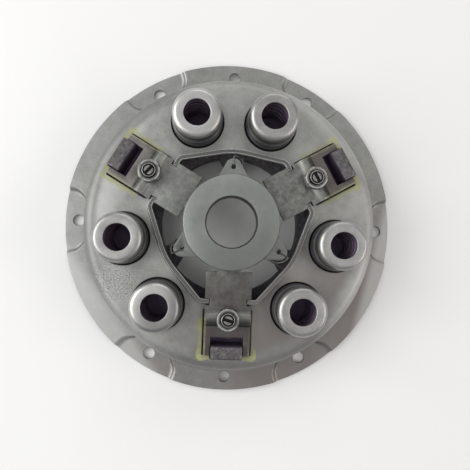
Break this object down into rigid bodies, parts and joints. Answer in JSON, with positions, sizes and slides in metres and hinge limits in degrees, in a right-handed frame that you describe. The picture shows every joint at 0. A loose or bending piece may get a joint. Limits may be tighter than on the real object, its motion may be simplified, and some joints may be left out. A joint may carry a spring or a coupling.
{
  "type": "clutch cover assembly",
  "caption": "Push-type coil-spring clutch cover: pressed cover with spring cups, rocking release levers, adjusting nuts, release ring and sliding pressure plate.",
  "frame": {"origin": "on the clutch axis, in the plane of the flange's bolt pads", "axes": "+Z along the clutch axis, from the flywheel side towards the release ring; one lever lies along -Y"},
  "size_m": [0.215, 0.215, 0.053],
  "materials": {
    "pressed_steel": "bare pressed steel, oiled, satin grey with fine scuffs",
    "drawn_steel": "bright drawn steel tops, darker sides",
    "lever_steel": "mottled grey-brown heat-treated steel",
    "ground_steel": "ground face, greenish grey, with small dark spots",
    "bright_steel": "bright zinc-plated steel",
    "cast_iron": "rough dark grey casting",
    "spring_steel": "dark oil-tempered wire"
  },
  "bodies": {
    "cover_assembly": {"cover": "pressed_steel", "spring_cup_1": "drawn_steel", "spring_cup_2": "drawn_steel", "spring_cup_3": "drawn_steel", "spring_cup_4": "drawn_steel", "spring_cup_5": "drawn_steel", "spring_cup_6": "drawn_steel", "thrust_spring_1": "spring_steel", "thrust_spring_2": "spring_steel", "thrust_spring_3": "spring_steel", "thrust_spring_4": "spring_steel", "thrust_spring_5": "spring_steel", "thrust_spring_6": "spring_steel"},
    "pressure_plate": {"pressure_plate": "cast_iron", "lever_stud_1": "bright_steel", "lever_stud_2": "bright_steel", "lever_stud_3": "bright_steel", "adjusting_nut_1": "bright_steel", "adjusting_nut_2": "bright_steel", "adjusting_nut_3": "bright_steel"},
    "lever_1": {"release_lever_1": "lever_steel"},
    "lever_2": {"release_lever_2": "lever_steel"},
    "lever_3": {"release_lever_3": "lever_steel"},
    "release_ring": {"release_ring": "ground_steel", "ring_clip_1": "bright_steel", "ring_clip_2": "bright_steel", "ring_clip_3": "bright_steel"}
  },
  "joints": [
    {"name": "plate_lift", "type": "slide", "parent": "cover_assembly", "child": "pressure_plate", "axis": [0, 0, 1], "range_m": [0, 0.00175], "stiffness_N_per_m": 8000, "springref_m": -0.005, "deforming": ["thrust_spring_1", "thrust_spring_2", "thrust_spring_3", "thrust_spring_4", "thrust_spring_5", "thrust_spring_6"]},
    {"name": "lever_1_rock", "type": "hinge", "parent": "cover_assembly", "child": "lever_1", "pos_m": [0.04114, 0.02375, 0.0315], "axis": [0.5, -0.866, 0], "range_deg": [0, 10]},
    {"name": "lever_2_rock", "type": "hinge", "parent": "cover_assembly", "child": "lever_2", "pos_m": [-0.04114, 0.02375, 0.0315], "axis": [0.5, 0.866, 0], "range_deg": [0, 10]},
    {"name": "lever_3_rock", "type": "hinge", "parent": "cover_assembly", "child": "lever_3", "pos_m": [0, -0.0475, 0.0315], "axis": [-1, 0, 0], "range_deg": [0, 10]},
    {"name": "ring_travel", "type": "slide", "parent": "cover_assembly", "child": "release_ring", "axis": [0, 0, -1], "range_m": [0, 0.0041], "deforming": ["ring_clip_1", "ring_clip_2", "ring_clip_3"]}
  ],
  "couplings": [
    {"joint": "lever_1_rock", "follows": "plate_lift", "rad_per_m": 100},
    {"joint": "lever_2_rock", "follows": "plate_lift", "rad_per_m": 100},
    {"joint": "lever_3_rock", "follows": "plate_lift", "rad_per_m": 100},
    {"joint": "ring_travel", "follows": "plate_lift", "ratio": 2.35}
  ]
}
